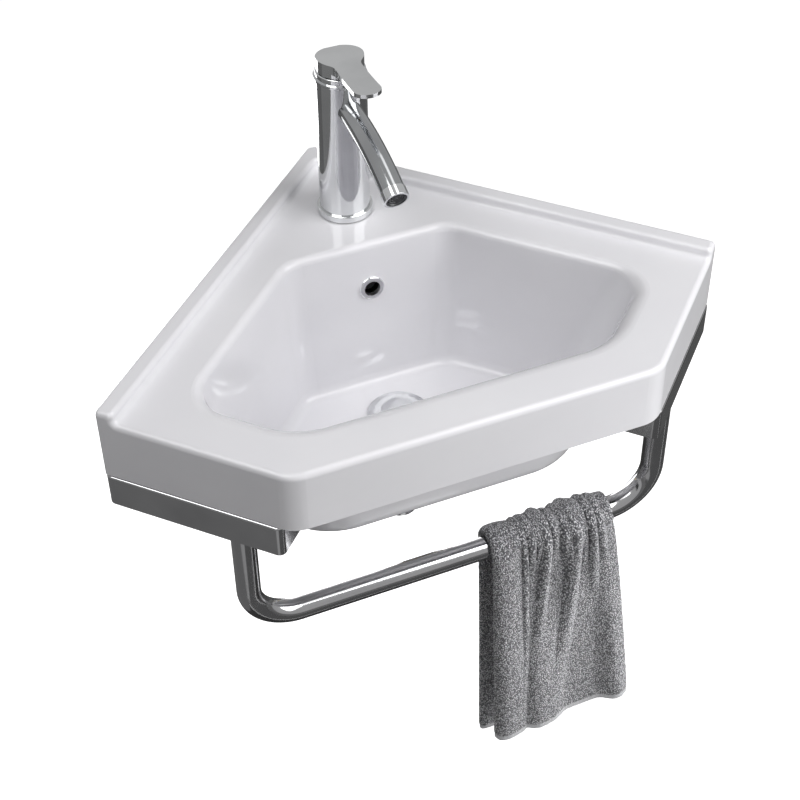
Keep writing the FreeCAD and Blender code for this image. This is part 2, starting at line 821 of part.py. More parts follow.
def make_trim_dome():
    """Ring between the body and the cap: a ball centred on the lever's pivot, with a collar round its foot."""
    ball = Part.makeSphere(dome_radius, V(0, -tap_from_corner, pivot_height))
    piece = ball.common(tap_rod(dome_radius, tap_body_top, tap_body_top + dome_rise))
    collar_top = tap_body_top + dome_collar_height
    collar = tap_rod(dome_collar_radius, tap_body_top, collar_top)
    rim = [edge for edge in collar.Edges if edge.BoundBox.ZMin > collar_top - dome_collar_round]
    piece = piece.fuse(collar.makeFillet(dome_collar_round, rim)).removeSplitter()
    return piece.cut(tap_rod(dome_radius - dome_wall, tap_body_top, tap_body_top + dome_rise))


def make_rotor():
    """Turning disc on the cartridge with two ears for the lever's pin."""
    foot = cartridge_top + cartridge_boss_height + running_clearance
    gap = spindle_width / 2 + lever_clearance
    piece = tap_rod(rotor_radius, foot, foot + rotor_height)
    for side in (1, -1):
        inner = side * gap
        outer = side * (gap + ear_thickness)
        ear = box(min(inner, outer), max(inner, outer), -tap_from_corner - ear_width / 2,
                  -tap_from_corner + ear_width / 2, foot, pivot_height + ear_rise)
        piece = piece.fuse(ear.common(tap_rod(rotor_radius, foot, pivot_height + ear_rise)))
    return piece.removeSplitter().cut(pin_rod(lever_pin_radius, 2 * rotor_radius))


def pin_rod(radius, length):
    """Cylinder along X through the lever's pivot."""
    return Part.makeCylinder(radius, length, V(-length / 2, -tap_from_corner, pivot_height), V(1, 0, 0))


def make_lever_pin():
    """Pivot pin in the rotor's ears."""
    return pin_rod(lever_pin_radius, spindle_width + 2 * (lever_clearance + ear_thickness / 2))


def make_spindle():
    """Square post with a pivot eye."""
    half = spindle_width / 2
    eye = pin_rod(spindle_eye_radius, spindle_width)
    post = box(-half, half, -tap_from_corner - half, -tap_from_corner + half, pivot_height, spindle_top)
    return eye.fuse(post).removeSplitter().cut(pin_rod(lever_pin_radius + running_clearance, spindle_width))


def lever_root():
    """Height where the round cap ends and the tongue begins."""
    return lever_crest_top - lever_root_drop


def lever_side_face():
    """Side view of the handle above its round cap: a top that climbs in a wave to a thin tip."""
    def at(forward, height):
        return V(-cap_radius * 2, -tap_from_corner - forward, height)

    back = -cap_radius - cut_overrun
    back_low = at(back, lever_root())
    back_top = at(back, cap_back_top - cut_overrun * lever_slope_share())
    crest = at(lever_crest_reach, lever_crest_top)
    waist = at(lever_waist_reach, lever_waist_top)
    tip = at(lever_reach + cut_overrun, lever_tip_top)
    tip_low = at(lever_reach + cut_overrun, lever_tip_top - lever_tip_thickness)
    waist_low = at(lever_waist_reach, lever_waist_top - lever_waist_thickness)
    root = at(cap_radius - cap_wall, lever_root())
    rise = V(0, 0, lever_swell)
    edges = [Part.LineSegment(back_low, back_top).toShape(),
             Part.Arc(back_top, (back_top + crest) * 0.5 + rise, crest).toShape(),
             Part.Arc(crest, waist, tip).toShape(),
             Part.LineSegment(tip, tip_low).toShape(),
             Part.Arc(tip_low, (tip_low + waist_low) * 0.5 - rise, waist_low).toShape(),
             Part.Arc(waist_low, (waist_low + root) * 0.5 - rise, root).toShape(),
             Part.LineSegment(root, back_low).toShape()]
    return Part.Face(Part.Wire(edges))


def lever_slope_share():
    """Rise of the handle's top from the back to the crest, per length."""
    return (lever_crest_top - cap_back_top) / (lever_crest_reach + cap_radius)


def lever_plan_prism():
    """Plan of the handle: the round cap, a hollow flank each side and a straight tongue with a round tip."""
    low = cap_foot - cut_overrun
    high = lever_tip_top + cut_overrun
    centre = V(0, -tap_from_corner, low)
    half_waist = lever_waist_width / 2
    tip_radius = lever_tip_width / 2
    flank_from_centre = cap_radius + lever_flank_radius
    flank_across = half_waist + lever_flank_radius
    flank_forward = math.sqrt(flank_from_centre ** 2 - flank_across ** 2)

    def edge(side):
        flank_centre = centre + V(side * flank_across, -flank_forward, 0)
        shoulder = centre + (flank_centre - centre) * (cap_radius / flank_from_centre)
        waist = flank_centre - V(side * lever_flank_radius, 0, 0)
        inwards = (shoulder + waist) * 0.5 - flank_centre
        flank = flank_centre + inwards.normalize() * lever_flank_radius
        cheek = centre + V(side * tip_radius, tip_radius - lever_reach, 0)
        return shoulder, flank, waist, cheek

    right, left = edge(1), edge(-1)
    nose = centre - V(0, lever_reach, 0)
    back = centre + V(0, cap_radius, 0)
    edges = [Part.Arc(right[0], right[1], right[2]).toShape(),
             Part.LineSegment(right[2], right[3]).toShape(),
             Part.Arc(right[3], nose, left[3]).toShape(),
             Part.LineSegment(left[3], left[2]).toShape(),
             Part.Arc(left[2], left[1], left[0]).toShape(),
             Part.Arc(left[0], back, right[0]).toShape()]
    return Part.Face(Part.Wire(edges)).extrude(UP * (high - low))


def make_lever_handle():
    """Hollow cap that runs into the lever's tongue, with a hub for the spindle and room to tip back."""
    y = -tap_from_corner
    body = lever_side_face().extrude(V(cap_radius * 4, 0, 0)).common(lever_plan_prism())
    body = body.fuse(tap_rod(cap_radius, cap_foot, lever_root())).removeSplitter()
    relief_angle = math.radians(lever_lift + lever_relief)
    reach = cap_radius + cut_overrun
    relief = side_prism([(y, cap_foot), (y + reach, cap_foot + reach * math.tan(relief_angle)),
                         (y + reach, cap_foot - cut_overrun), (y, cap_foot - cut_overrun)], 4 * cap_radius)
    hollow = ring(cap_radius - cap_wall, hub_radius, cap_foot - cut_overrun, cap_ceiling, 0, y)
    hollow = hollow.fuse(tap_rod(hub_radius, cap_foot - cut_overrun, hub_foot))
    half = spindle_width / 2 + running_clearance
    socket = box(-half, half, y - half, y + half, hub_foot - cut_overrun, spindle_top)
    grub = grub_rod(grub_screw_radius + running_clearance, hub_radius)
    access = grub_rod(grub_access_radius, cap_radius + cut_overrun)
    access = access.cut(tap_rod(hub_radius, cap_foot, cap_ceiling))
    return body.cut([relief, hollow, socket, grub, access]).removeSplitter()


def grub_rod(radius, reach):
    """Cylinder from the spindle's front face forwards."""
    start = spindle_width / 2 + running_clearance
    foot = V(0, -tap_from_corner - start, grub_screw_height)
    return Part.makeCylinder(radius, reach - start, foot, V(0, -1, 0))


def make_tap_fixing():
    """Stud, horseshoe seal and plate, and nut under the deck."""
    y = -tap_from_corner + tap_stud_back
    top = tap_seal_thickness + tap_stud_depth
    stud = rod(tap_stud_radius, top - tap_stud_depth - tap_stud_drop, top, 0, y)
    seal_low = -deck_thickness - horseshoe_seal_thickness
    plate_low = seal_low - horseshoe_plate_thickness
    nut = hexagon(tap_nut_across_flats, plate_low - tap_nut_height, plate_low, 0, y)
    nut = nut.cut(rod(tap_stud_radius + running_clearance, plate_low - tap_nut_height, plate_low, 0, y))

    def horseshoe(low, high):
        plate = tap_rod(horseshoe_radius, low, high)
        slot = box(-horseshoe_slot / 2, horseshoe_slot / 2, -tap_from_corner - horseshoe_radius - cut_overrun,
                   -tap_from_corner + horseshoe_slot_end, low, high)
        return plate.cut([slot, rod(tap_stud_radius + fit_clearance, low, high, 0, y)])

    return stud, horseshoe(seal_low, -deck_thickness), horseshoe(plate_low, seal_low), nut


# Brackets, drawn in the right wall's frame: x leads away from the wall, y along it

def bracket_levels():
    """Heights of the bracket's top and foot."""
    top = -skirt_height - pad_thickness
    return top, top - bracket_height


def bracket_face():
    """Distance of the bracket's outer face along the wall."""
    return wall_side + bracket_proud


def make_right_bracket():
    """Folded steel bracket: wall flange, side strip, front tab and a flange under the basin's skirt."""
    top, foot = bracket_levels()
    outer = bracket_face()
    inner = outer - bracket_thickness
    length = bracket_length
    plate = bracket_thickness
    plan = [(0, outer), (length, outer), (length, outer - front_tab_length),
            (length - plate, outer - front_tab_length), (length - plate, inner), (plate, inner),
            (plate, outer - wall_flange_length), (0, outer - wall_flange_length)]
    body = prism(plan, foot, top)
    for x in (0, length):
        body = fillet_where(body, bracket_bend_radius, lies_at(x, outer))
    for x in (plate, length - plate):
        body = fillet_where(body, bracket_bend_radius - plate, lies_at(x, inner))
    body = fillet_where(body, bracket_top_bend, lambda p: near(p.z, top) and p.y > outer - plate / 2)
    shelf = box(plate, length - plate, outer - top_flange_width, inner, top - plate, top)
    away, along = post_place()
    seat = box(away - foot_flange_length / 2, away + foot_flange_length / 2, outer - foot_flange_width, inner,
               foot, foot + plate)
    body = body.fuse([shelf, seat]).removeSplitter()
    seat_top = foot + plate
    bolt_hole = rail_bolt_radius + fit_clearance
    body = body.cut(rod(bolt_hole, foot - cut_overrun, seat_top + cut_overrun, away, along))
    screw_height = (top + foot) / 2
    for along in (wall_screw_from_edge, wall_screw_from_edge + wall_screw_spacing):
        hole = Part.makeCylinder(wall_screw_radius, plate + 2 * cut_overrun,
                                 V(-cut_overrun, outer - along, screw_height), V(1, 0, 0))
        body = body.cut(hole)
    return on_right_side(body)


def make_right_pad():
    """Rubber strip between the bracket's flange and the basin's skirt."""
    top = bracket_levels()[0]
    side = wall_side - skirt_wall
    strip = box(pad_end_margin, bracket_length - pad_end_margin, side + pad_side_margin,
                wall_side - pad_side_margin, top, -skirt_height)
    return on_right_side(strip)


# Towel rail

def post_place():
    """Axis of the rail's right post in the right wall's frame: flush with the bracket's outer face."""
    return bracket_length - rail_from_bracket_end, bracket_face() - rail_radius


def post_axis():
    """The same axis in the basin's frame: half the rail's span and its distance from the corner."""
    away, along = post_place()
    return (along - away) / ROOT2, -(along + away) / ROOT2


def post_top():
    """Height of the post's upper end, under the bracket's foot flange."""
    return bracket_levels()[1]


def rail_path():
    """Wire down one post, along the bar and up the other post."""
    half, y = post_axis()
    bar = -rail_drop
    bend = rail_bend_radius
    reach = bend * (1 - 1 / ROOT2)
    edges = []
    corners = []
    for side in (-1, 1):
        corners.append((V(side * half, y, bar + bend), V(side * (half - reach), y, bar + reach),
                        V(side * (half - bend), y, bar)))
    left, right = corners
    edges.append(Part.LineSegment(V(-half, y, post_top()), left[0]).toShape())
    edges.append(Part.Arc(*left).toShape())
    edges.append(Part.LineSegment(left[2], right[2]).toShape())
    edges.append(Part.Arc(right[2], right[1], right[0]).toShape())
    edges.append(Part.LineSegment(right[0], V(half, y, post_top())).toShape())
    return Part.Wire(edges)


def make_towel_rail():
    """One bent tube."""
    half, y = post_axis()
    start = V(-half, y, post_top())
    path = rail_path()
    solids = [path.makePipeShell([Part.Wire(Part.makeCircle(r, start, UP))], True, False)
              for r in (rail_radius, rail_radius - rail_wall)]
    return solids[0].cut(solids[1])


def make_rail_fixings():
    """Threaded inserts in the posts, and bolts with washers on the brackets' foot flanges."""
    half, y = post_axis()
    top = post_top()
    seat = top + bracket_thickness
    head = seat + rail_washer_thickness
    hole = rail_bolt_radius + running_clearance
    insert = ring(rail_radius - rail_wall - running_clearance, hole, top - insert_length, top, half, y)
    washer = ring(rail_washer_radius, hole, seat, head, half, y)
    bolt = hexagon(rail_bolt_across_flats, head, head + rail_bolt_head, half, y)
    bolt = bolt.fuse(rod(rail_bolt_radius, head - rail_bolt_length, head, half, y)).removeSplitter()
    return both_sides(insert), both_sides(washer), both_sides(bolt)


# Towel

def towel_outline(fold_at):
    """Depth of the cloth's folds at even steps across it, from the left edge to the right."""
    steps = 2 * towel_pleat_count
    return [fold_at(k / steps, k % 2) for k in range(steps + 1)]


def pleats(place_share, odd):
    """Even pleats gathered at the bar."""
    return towel_pleat if odd else 0


def broad_folds(place_share, odd):
    """Broad folds that the pleats open into: a roll at the left edge, a low fold and a fold at the right."""
    depth = 0
    for at_share, half_share, depth_share in towel_fold_shares:
        off_share = min(abs(place_share - at_share) / half_share, 1)
        depth += towel_fold * depth_share * (1 + math.cos(math.pi * off_share)) / 2
    return depth


def towel_section(left, right, near_face, outward, depths, height):
    """Closed section of the cloth in straight strips: near face and outer face follow the same folds."""
    steps = len(depths) - 1
    xs = [left + (right - left) * k / steps for k in range(steps + 1)]
    near_row = [V(x, near_face + outward * d, height) for x, d in zip(xs, depths)]
    far_row = [p + V(0, outward * towel_thickness, 0) for p in near_row]
    return Part.makePolygon(near_row + far_row[::-1] + near_row[:1])


def make_towel():
    """Towel over the bar: pleats round the top, broad folds that fan out in front and behind."""
    half, y = post_axis()
    bar = -rail_drop
    right = half - rail_bend_radius - towel_from_bend
    left = right - towel_width
    inner = rail_radius + towel_clearance
    spread = towel_foot_width - towel_width
    gathered = towel_outline(pleats)
    opened = towel_outline(broad_folds)
    panels = []
    foot_left = left + towel_foot_shift - spread / 2
    foot_right = right + towel_foot_shift + spread / 2
    for outward, length in ((-1, towel_front_length), (1, towel_back_length)):
        face = y + outward * inner
        top = towel_section(left, right, face, outward, gathered, bar)
        foot = towel_section(foot_left, foot_right, face, outward, opened, bar - length)
        panels.append((top, Part.makeLoft([top, foot], True, True)))
    arch = Part.Face(panels[0][0]).revolve(V(0, y, bar), V(-1, 0, 0), 180)
    return arch.fuse([panel for top, panel in panels]).removeSplitter()


def main():
    """Build every piece and write its file."""
    os.makedirs("parts", exist_ok=True)
    stem, seal, cap = make_plug()
    top_seal, lower_seal = make_waste_seals()
    stud, horseshoe_seal, horseshoe_plate, tap_nut = make_tap_fixing()
    rail_inserts, rail_washers, rail_bolts = make_rail_fixings()
    right_bracket = make_right_bracket()
    right_pad = make_right_pad()
    grub = grub_rod(grub_screw_radius, hub_radius)
    pieces = {
        "basin": make_basin(), "overflow_ring": make_overflow_ring(),
        "waste_body": make_waste_body(), "waste_top_seal": top_seal, "waste_lower_seal": lower_seal,
        "waste_nut": make_waste_nut(), "waste_tail": make_waste_tail(),
        "click_cartridge": make_click_cartridge(), "plug_stem": stem, "plug_seal": seal, "plug_cap": cap,
        "tap_body": make_tap_body(), "tap_base_ring": make_base_ring(), "tap_base_seal": make_tap_seal(),
        "spout": make_spout(), "aerator_collar": make_aerator_collar(),
        "aerator_insert": make_aerator_insert(),
        "cartridge": make_cartridge(), "cartridge_nut": make_cartridge_nut(), "trim_dome": make_trim_dome(),
        "cartridge_rotor": make_rotor(), "lever_pin": make_lever_pin(), "lever_spindle": make_spindle(),
        "lever_handle": make_lever_handle(), "grub_screw": grub,
        "tap_stud": stud, "horseshoe_seal": horseshoe_seal, "horseshoe_plate": horseshoe_plate,
        "tap_nut": tap_nut,
        "right_bracket": right_bracket, "left_bracket": mirrored(right_bracket),
        "right_pad": right_pad, "left_pad": mirrored(right_pad),
        "towel_rail": make_towel_rail(), "rail_inserts": rail_inserts, "rail_washers": rail_washers,
        "rail_bolts": rail_bolts, "towel": make_towel(),
    }
    for node, shape in pieces.items():
        export(shape, node)
        print(f"{node}: {len(shape.Solids)} solids, {shape.Volume / 1000:.2f} cm3, valid {shape.isValid()}")


main()
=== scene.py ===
import json
import logging
import math
from dataclasses import dataclass
from enum import Enum

import bpy
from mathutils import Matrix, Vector, noise


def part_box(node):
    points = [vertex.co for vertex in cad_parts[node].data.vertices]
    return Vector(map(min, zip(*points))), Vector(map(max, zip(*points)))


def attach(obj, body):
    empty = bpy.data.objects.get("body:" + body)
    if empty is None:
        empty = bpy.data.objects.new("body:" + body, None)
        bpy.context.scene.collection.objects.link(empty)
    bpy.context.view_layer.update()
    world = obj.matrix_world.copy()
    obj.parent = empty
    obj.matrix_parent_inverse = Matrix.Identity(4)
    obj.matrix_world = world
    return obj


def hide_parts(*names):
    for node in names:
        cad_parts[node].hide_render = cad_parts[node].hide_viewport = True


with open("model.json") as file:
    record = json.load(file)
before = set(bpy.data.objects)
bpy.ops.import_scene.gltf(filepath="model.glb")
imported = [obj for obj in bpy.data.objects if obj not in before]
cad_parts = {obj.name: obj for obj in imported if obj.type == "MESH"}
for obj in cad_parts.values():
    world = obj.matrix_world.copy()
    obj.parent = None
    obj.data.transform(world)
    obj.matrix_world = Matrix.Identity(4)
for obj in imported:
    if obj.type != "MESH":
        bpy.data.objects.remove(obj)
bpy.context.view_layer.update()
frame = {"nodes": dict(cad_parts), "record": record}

log = logging.getLogger("corner_basin")

Colour = tuple[float, float, float]
Point = tuple[float, float, float]
Size = tuple[float, float]
Socket = bpy.types.NodeSocket

WHITE = (1, 1, 1, 1)
BLACK = (0, 0, 0, 1)

# Most values of a noise pattern lie between these two.
NOISE_LOW = 0.3
NOISE_HIGH = 0.7

# Sockets of a Mix node for colours, taken by number because their names repeat.
MIX_SHARE = 0
MIX_FIRST = 6
MIX_SECOND = 7
MIX_RESULT = 2

# A grid of size 1 reaches this far to each side of its middle.
GRID_HALF = 0.5


class Crest(Enum):
    """Form of a fold's crest."""

    SHARP = "sharp"
    SOFT = "soft"


class Layer(Enum):
    """Layer of the folded cloth, with the sign of its side of the middle."""

    OUTER = 1
    INNER = -1


class Graph:
    """Adds and joins the nodes of one node tree."""

    def __init__(self, tree: bpy.types.NodeTree) -> None:
        """Take the tree."""
        self.tree = tree

    def feed(self, socket: Socket, value: object) -> None:
        """Join an output to an input, or set the input's own value.

        Args:
            socket: The input.
            value: An output, or a value for the input.
        """
        if isinstance(value, bpy.types.NodeSocket):
            self.tree.links.new(value, socket)
        else:
            socket.default_value = value

    def fill(self, node: bpy.types.Node, values: dict[str, object]) -> None:
        """Feed several inputs of a node, by their names with underscores for spaces."""
        for name, value in values.items():
            self.feed(node.inputs[name.replace("_", " ")], value)

    def add(self, kind: str, **values: object) -> bpy.types.Node:
        """Add a node and feed its inputs.

        Args:
            kind: Type name of the node.
            values: Values or outputs by the input's name, with underscores for spaces.

        Returns:
            The new node.
        """
        node = self.tree.nodes.new(kind)
        self.fill(node, values)
        return node

    def reckon(self, operation: str, *values: object) -> Socket:
        """Work out a value with a Math node.

        Args:
            operation: What the node does.
            values: Numbers or outputs, in the order of the node's inputs.

        Returns:
            The result.
        """
        node = self.add("ShaderNodeMath")
        node.operation = operation
        for socket, value in zip(node.inputs, values):
            self.feed(socket, value)
        return node.outputs[0]


class Wiring(Graph):
    """Shader nodes of one material."""

    def __init__(self, name: str) -> None:
        """Start a material with one principled shader.

        Args:
            name: Name of the material.
        """
        self.material = bpy.data.materials.new(name)
        self.material.use_nodes = True
        super().__init__(self.material.node_tree)
        self.shader = self.tree.nodes["Principled BSDF"]

    def surface(self, **values: object) -> None:
        """Feed the principled shader's own inputs."""
        self.fill(self.shader, values)

    def coordinates(self, kind: str = "Object") -> Socket:
        """Give the piece's Object coordinates, or those of another kind."""
        return self.add("ShaderNodeTexCoord").outputs[kind]

    def noise(self, scale: float, detail: float = 3.0, stretch: Point = (1, 1, 1)) -> Socket:
        """Add a noise pattern on Object coordinates.

        Args:
            scale: Waves per metre.
            detail: Octaves of the noise.
            stretch: Scale along each axis.

        Returns:
            The noise's value.
        """
        mapping = self.add("ShaderNodeMapping", Vector=self.coordinates(), Scale=stretch)
        node = self.add("ShaderNodeTexNoise", Vector=mapping.outputs["Vector"], Scale=scale, Detail=detail)
        return node.outputs["Fac"]

    def ramp(self, value: Socket, low: Colour, high: Colour, start: float = NOISE_LOW,
             end: float = NOISE_HIGH) -> Socket:
        """Spread a value between two colours.

        Args:
            value: Driving value.
            low: Colour at the start.
            high: Colour at the end.
            start: Value of the low colour.
            end: Value of the high colour.

        Returns:
            The ramp's colour.
        """
        node = self.add("ShaderNodeValToRGB", Fac=value)
        for stop, place, colour in zip(node.color_ramp.elements, (start, end), (low, high)):
            stop.position = place
            stop.color = (*colour, 1)
        return node.outputs["Color"]

    def span(self, value: Socket, low: float, high: float) -> Socket:
        """Spread a noise value over a range.

        Args:
            value: The noise's value.
            low: Result at the noise's low end.
            high: Result at its high end.

        Returns:
            The value in the range.
        """
        node = self.add("ShaderNodeMapRange", Value=value, From_Min=NOISE_LOW, From_Max=NOISE_HIGH,
                        To_Min=low, To_Max=high)
        return node.outputs["Result"]

    def blend(self, share: Socket, first: Colour, second: Socket) -> Socket:
        """Show a plain colour where a share is 0 and another colour where it is 1.

        Args:
            share: The share.
            first: Plain colour.
            second: Output of the other colour.

        Returns:
            The blended colour.
        """
        node = self.add("ShaderNodeMix")
        node.data_type = "RGBA"
        self.feed(node.inputs[MIX_SHARE], share)
        self.feed(node.inputs[MIX_FIRST], (*first, 1))
        self.feed(node.inputs[MIX_SECOND], second)
        return node.outputs[MIX_RESULT]

    def bump(self, height: Socket, strength: float, depth: float) -> None:
        """Press a height pattern into the shader's normal.

        Args:
            height: Height value.
            strength: Share of the effect.
            depth: Depth in metres.
        """
        node = self.add("ShaderNodeBump", Height=height, Strength=strength, Distance=depth)
        self.surface(Normal=node.outputs["Normal"])


@dataclass(frozen=True)
class ThroatShade:
    """Painted shade inside the overflow: a round, nearly black patch in the finishes that line it, where the
    enclosed bore lies in shade.
    """

    # Colour of the painted shade in the throat.
    dark: Colour = (0.01, 0.01, 0.011)
    inset: float = 0.002

    def centre(self) -> Vector:
        """Give the point on the overflow's axis near the inner end of its ring."""
        low, high = (Vector(corner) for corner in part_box("overflow_ring"))
        return Vector((0, high.y - self.inset, (low.z + high.z) / 2))

    def paint_shade(self, wiring: Wiring, colour: Socket, reach: float) -> Socket:
        """Paint the throat's shade by turning a colour nearly black there.

        Args:
            wiring: Nodes of the finish.
            colour: Colour elsewhere.
            reach: Radius of the painted shade in metres.

        Returns:
            The colour with the shade painted in.
        """
        away = wiring.add("ShaderNodeVectorMath")
        away.operation = "DISTANCE"
        wiring.feed(away.inputs[0], wiring.coordinates())
        wiring.feed(away.inputs[1], self.centre())
        outside = wiring.reckon("GREATER_THAN", away.outputs["Value"], reach)
        return wiring.blend(outside, self.dark, colour)


@dataclass(frozen=True)
class Glaze:
    """White sanitary glaze: glossy, faintly uneven in tone and surface."""

    name: str = "glaze"
    deep: Colour = (0.795, 0.79, 0.82)
    thin: Colour = (0.835, 0.83, 0.855)
    cloud_scale: float = 9.0
    cloud_detail: float = 4.0
    smooth: float = 0.07
    rough: float = 0.13
    gloss_scale: float = 45.0
    refraction: float = 1.5
    ripple_scale: float = 38.0
    ripple_detail: float = 2.0
    ripple_strength: float = 0.12
    ripple_depth: float = 0.0006
    throat: ThroatShade = ThroatShade()
    # Radius of the painted shade in the overflow's throat.
    throat_shade_reach: float = 0.0115

    def build(self) -> bpy.types.Material:
        """Make the glaze, with painted shade on the clay in the overflow's throat.

        Returns:
            The material.
        """
        wiring = Wiring(self.name)
        tone = wiring.ramp(wiring.noise(self.cloud_scale, self.cloud_detail), self.deep, self.thin)
        # The base colour carries painted shade in the overflow's throat.
        wiring.surface(
            Base_Color=self.throat.paint_shade(wiring, tone, self.throat_shade_reach),
            Roughness=wiring.span(wiring.noise(self.gloss_scale), self.smooth, self.rough),
            IOR=self.refraction)
        ripple = wiring.noise(self.ripple_scale, self.ripple_detail)
        wiring.bump(ripple, self.ripple_strength, self.ripple_depth)
        return wiring.material


@dataclass(frozen=True)
class Metal:
    """Bare or plated metal with faint rub marks, with painted shade in the overflow's throat where it lines
    it.
    """

    name: str
    low: Colour
    high: Colour
    smooth: float
    rough: float
    tone_scale: float = 26.0
    rub_scale: float = 220.0
    rub_detail: float = 5.0
    rub_strength: float = 0.15
    rub_depth: float = 0.00002
    throat: ThroatShade = ThroatShade()
    # Radius of the painted shade in the overflow's throat; 0 paints none.
    throat_shade_reach: float = 0.0

    def build(self) -> bpy.types.Material:
        """Make the metal.

        Returns:
            The material.
        """
        wiring = Wiring(self.name)
        tone = wiring.ramp(wiring.noise(self.tone_scale), self.low, self.high)
        # Paint shade in the overflow's throat where this metal lines it.
        if self.throat_shade_reach:
            tone = self.throat.paint_shade(wiring, tone, self.throat_shade_reach)
        rub = wiring.noise(self.rub_scale, self.rub_detail)
        wiring.surface(Metallic=1.0, Base_Color=tone, Roughness=wiring.span(rub, self.smooth, self.rough))
        wiring.bump(rub, self.rub_strength, self.rub_depth)
        return wiring.material


@dataclass(frozen=True)
class Moulding:
    """Moulded rubber or plastic with a fine grain."""

    name: str
    low: Colour
    high: Colour
    smooth: float
    rough_gain: float = 0.12
    tone_scale: float = 60.0
    grain_scale: float = 900.0
    grain_detail: float = 2.0
    grain_strength: float = 0.3
    grain_depth: float = 0.0001

    def build(self) -> bpy.types.Material:
        """Make the moulding's finish.

        Returns:
            The material.
        """
        wiring = Wiring(self.name)
        grain = wiring.noise(self.grain_scale, self.grain_detail)
        wiring.surface(
            Base_Color=wiring.ramp(wiring.noise(self.tone_scale), self.low, self.high),
            Roughness=wiring.span(grain, self.smooth, self.smooth + self.rough_gain))
        wiring.bump(grain, self.grain_strength, self.grain_depth)
        return wiring.material


@dataclass(frozen=True)
class Terry:
    """Grey looped cotton, its loop heads painted pale as painted light and the gaps between them painted
    dark as painted shade, by the pile's height, with a flat woven band at each end.
    """

    name: str = "terry"
    # Painted shade in the gaps between the loops.
    gap_shade: Colour = (0.10, 0.10, 0.107)
    # Painted light on the loop heads.
    loop: Colour = (0.93, 0.93, 0.96)
    band: Colour = (0.60, 0.60, 0.62)
    band_width: float = 0.006
    loop_scale: float = 740.0
    loop_turn: float = 38.0
    loop_stretch: Point = (1.25, 0.8, 1)
    loop_scatter: float = 0.85
    loop_fall: float = -0.9
    fuzz_scale_share: float = 1.1
    fuzz_detail: float = 2.0
    gap_height: float = 0.01
    loop_height: float = 0.36
    rough: float = 0.95
    shine: float = 0.15
    sheen: float = 0.25
    sheen_rough: float = 0.6
    relief_strength: float = 0.7
    relief_depth: float = 0.0012

    def raise_loops(self, wiring: Wiring, cloth: Socket) -> Socket:
        """Raise the heads of the loops.

        Args:
            wiring: Nodes of the finish.
            cloth: The cloth's UV map.

        Returns:
            Height of the pile.
        """
        turned = wiring.add("ShaderNodeMapping", Vector=cloth, Rotation=(0, 0, math.radians(self.loop_turn)),
                            Scale=self.loop_stretch)
        cells = wiring.add("ShaderNodeTexVoronoi", Vector=turned.outputs["Vector"], Scale=self.loop_scale,
                           Randomness=self.loop_scatter)
        fuzz = wiring.add("ShaderNodeTexNoise", Vector=cloth, Scale=self.loop_scale * self.fuzz_scale_share,
                          Detail=self.fuzz_detail)
        return wiring.reckon("MULTIPLY_ADD", cells.outputs["Distance"], self.loop_fall, fuzz.outputs["Fac"])

    def build(self, length: float) -> bpy.types.Material:
        """Make the cloth's finish on its own UV map, which is in metres.

        Args:
            length: Length of the cloth between its woven ends.

        Returns:
            The material.
        """
        wiring = Wiring(self.name)
        cloth = wiring.coordinates("UV")
        height = self.raise_loops(wiring, cloth)
        # Colour by pile height: painted shade in the gaps, painted light on the loop heads.
        pile = wiring.ramp(height, self.gap_shade, self.loop, self.gap_height, self.loop_height)
        along = wiring.add("ShaderNodeSeparateXYZ", Vector=cloth).outputs["Y"]
        from_end = wiring.reckon("PINGPONG", along, length / 2)
        inside = wiring.reckon("GREATER_THAN", from_end, self.band_width)
        wiring.surface(
            Base_Color=wiring.blend(inside, self.band, pile), Roughness=self.rough, Sheen_Weight=self.sheen,
            Sheen_Roughness=self.sheen_rough, Specular_IOR_Level=self.shine)
        wiring.bump(height, self.relief_strength, self.relief_depth)
        return wiring.material


def dress(name: str, material: bpy.types.Material) -> None:
    """Give a CAD node its finish.

    Args:
        name: Name of the node.
        material: The finish.
    """
    slots = frame["nodes"][name].data.materials
    slots.clear()
    slots.append(material)
    log.info("dressed %s with %s", name, material.name)


@dataclass
class BasinCasting:
    """Ceramic basin with its overflow."""

    glaze: Glaze = Glaze()

    def build(self) -> None:
        """Dress the casting."""
        dress("basin", self.glaze.build())


